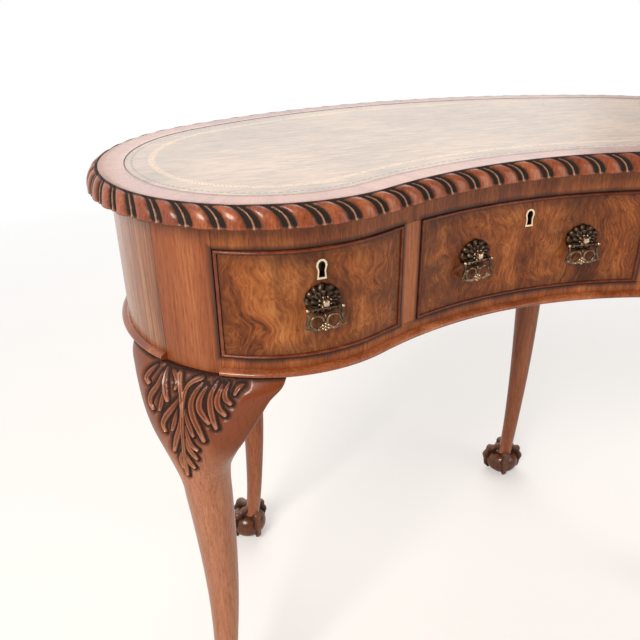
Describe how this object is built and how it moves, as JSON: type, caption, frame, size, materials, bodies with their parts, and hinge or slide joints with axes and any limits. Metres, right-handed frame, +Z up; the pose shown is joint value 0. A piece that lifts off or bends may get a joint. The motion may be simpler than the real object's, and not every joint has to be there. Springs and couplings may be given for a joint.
{
  "type": "kidney shaped desk",
  "caption": "Kidney shaped writing desk with an inset leather top, gadrooned edge, bowed drawers with hinged bail handles, and carved cabriole legs on claw and ball feet.",
  "frame": {"origin": "on the floor, at the centre of the bounding box", "axes": "+X along the width, -Y the side with the drawers, +Z up"},
  "size_m": [0.9054, 0.4805, 0.762],
  "materials": {
    "walnut": "french polished walnut",
    "burr_walnut": "french polished burr veneer",
    "crossband_walnut": "french polished crossbanding",
    "carved_walnut": "carved, stained in the hollows and polished on the crowns",
    "tooled_leather": "waxed, with worn gold tooling",
    "drawer_lining": "plain planed timber, waxed",
    "aged_brass": "dark patina, bright on the high points",
    "pale_brass": "lacquered, pale",
    "lock_steel": "brushed"
  },
  "bodies": {
    "desk": {"back_panel": "walnut", "bead_back": "walnut", "bead_front": "walnut", "bead_left": "walnut", "bead_right": "walnut", "bearer_inner_left": "drawer_lining", "bearer_inner_right": "drawer_lining", "bearer_outer_left": "drawer_lining", "bearer_outer_right": "drawer_lining", "crossband_border": "crossband_walnut", "divider_left": "walnut", "divider_right": "walnut", "end_panel_left": "walnut", "end_panel_right": "walnut", "gadroon_front": "carved_walnut", "gadroon_left": "carved_walnut", "gadroon_right": "carved_walnut", "leather_inset": "tooled_leather", "leg_back_left": "walnut", "leg_back_right": "walnut", "leg_front_left": "walnut", "leg_front_right": "walnut", "lower_rail": "walnut", "top_board": "walnut", "upper_rail": "walnut"},
    "drawer_left": {"drawer_left_back": "drawer_lining", "drawer_left_bottom": "drawer_lining", "drawer_left_cockbead": "crossband_walnut", "drawer_left_escutcheon": "pale_brass", "drawer_left_front": "burr_walnut", "drawer_left_lock_case": "lock_steel", "drawer_left_side_left": "drawer_lining", "drawer_left_side_right": "drawer_lining", "handle_left_rosette": "aged_brass"},
    "drawer_left_bolt": {"drawer_left_lock_bolt": "pale_brass"},
    "drawer_centre": {"drawer_centre_back": "drawer_lining", "drawer_centre_bottom": "drawer_lining", "drawer_centre_cockbead": "crossband_walnut", "drawer_centre_escutcheon": "pale_brass", "drawer_centre_front": "burr_walnut", "drawer_centre_lock_case": "lock_steel", "drawer_centre_side_left": "drawer_lining", "drawer_centre_side_right": "drawer_lining", "handle_centre_left_rosette": "aged_brass", "handle_centre_right_rosette": "aged_brass"},
    "drawer_centre_bolt": {"drawer_centre_lock_bolt": "pale_brass"},
    "drawer_right": {"drawer_right_back": "drawer_lining", "drawer_right_bottom": "drawer_lining", "drawer_right_cockbead": "crossband_walnut", "drawer_right_escutcheon": "pale_brass", "drawer_right_front": "burr_walnut", "drawer_right_lock_case": "lock_steel", "drawer_right_side_left": "drawer_lining", "drawer_right_side_right": "drawer_lining", "handle_right_rosette": "aged_brass"},
    "drawer_right_bolt": {"drawer_right_lock_bolt": "pale_brass"},
    "handle_left": {"handle_left_bail": "aged_brass"},
    "handle_centre_left": {"handle_centre_left_bail": "aged_brass"},
    "handle_centre_right": {"handle_centre_right_bail": "aged_brass"},
    "handle_right": {"handle_right_bail": "aged_brass"}
  },
  "joints": [
    {"name": "drawer_left_slide", "type": "slide", "parent": "desk", "child": "drawer_left", "axis": [0, -1, 0], "range_m": [0, 0.2]},
    {"name": "drawer_centre_slide", "type": "slide", "parent": "desk", "child": "drawer_centre", "axis": [0, -1, 0], "range_m": [0, 0.25]},
    {"name": "drawer_right_slide", "type": "slide", "parent": "desk", "child": "drawer_right", "axis": [0, -1, 0], "range_m": [0, 0.2]},
    {"name": "drawer_left_lock", "type": "slide", "parent": "drawer_left", "child": "drawer_left_bolt", "axis": [0, 0, 1], "range_m": [0, 0.009]},
    {"name": "drawer_centre_lock", "type": "slide", "parent": "drawer_centre", "child": "drawer_centre_bolt", "axis": [0, 0, 1], "range_m": [0, 0.009]},
    {"name": "drawer_right_lock", "type": "slide", "parent": "drawer_right", "child": "drawer_right_bolt", "axis": [0, 0, 1], "range_m": [0, 0.009]},
    {"name": "handle_left_swing", "type": "hinge", "parent": "drawer_left", "child": "handle_left", "pos_m": [-0.25967, -0.22745, 0.659], "axis": [-0.9998, -0.0221, 0], "range_deg": [0, 75]},
    {"name": "handle_centre_left_swing", "type": "hinge", "parent": "drawer_centre", "child": "handle_centre_left", "pos_m": [-0.06762, -0.1744, 0.659], "axis": [-0.9888, -0.1496, 0], "range_deg": [0, 75]},
    {"name": "handle_centre_right_swing", "type": "hinge", "parent": "drawer_centre", "child": "handle_centre_right", "pos_m": [0.06762, -0.1744, 0.659], "axis": [-0.9888, 0.1496, 0], "range_deg": [0, 75]},
    {"name": "handle_right_swing", "type": "hinge", "parent": "drawer_right", "child": "handle_right", "pos_m": [0.25967, -0.22745, 0.659], "axis": [-0.9998, 0.0221, 0], "range_deg": [0, 75]}
  ]
}
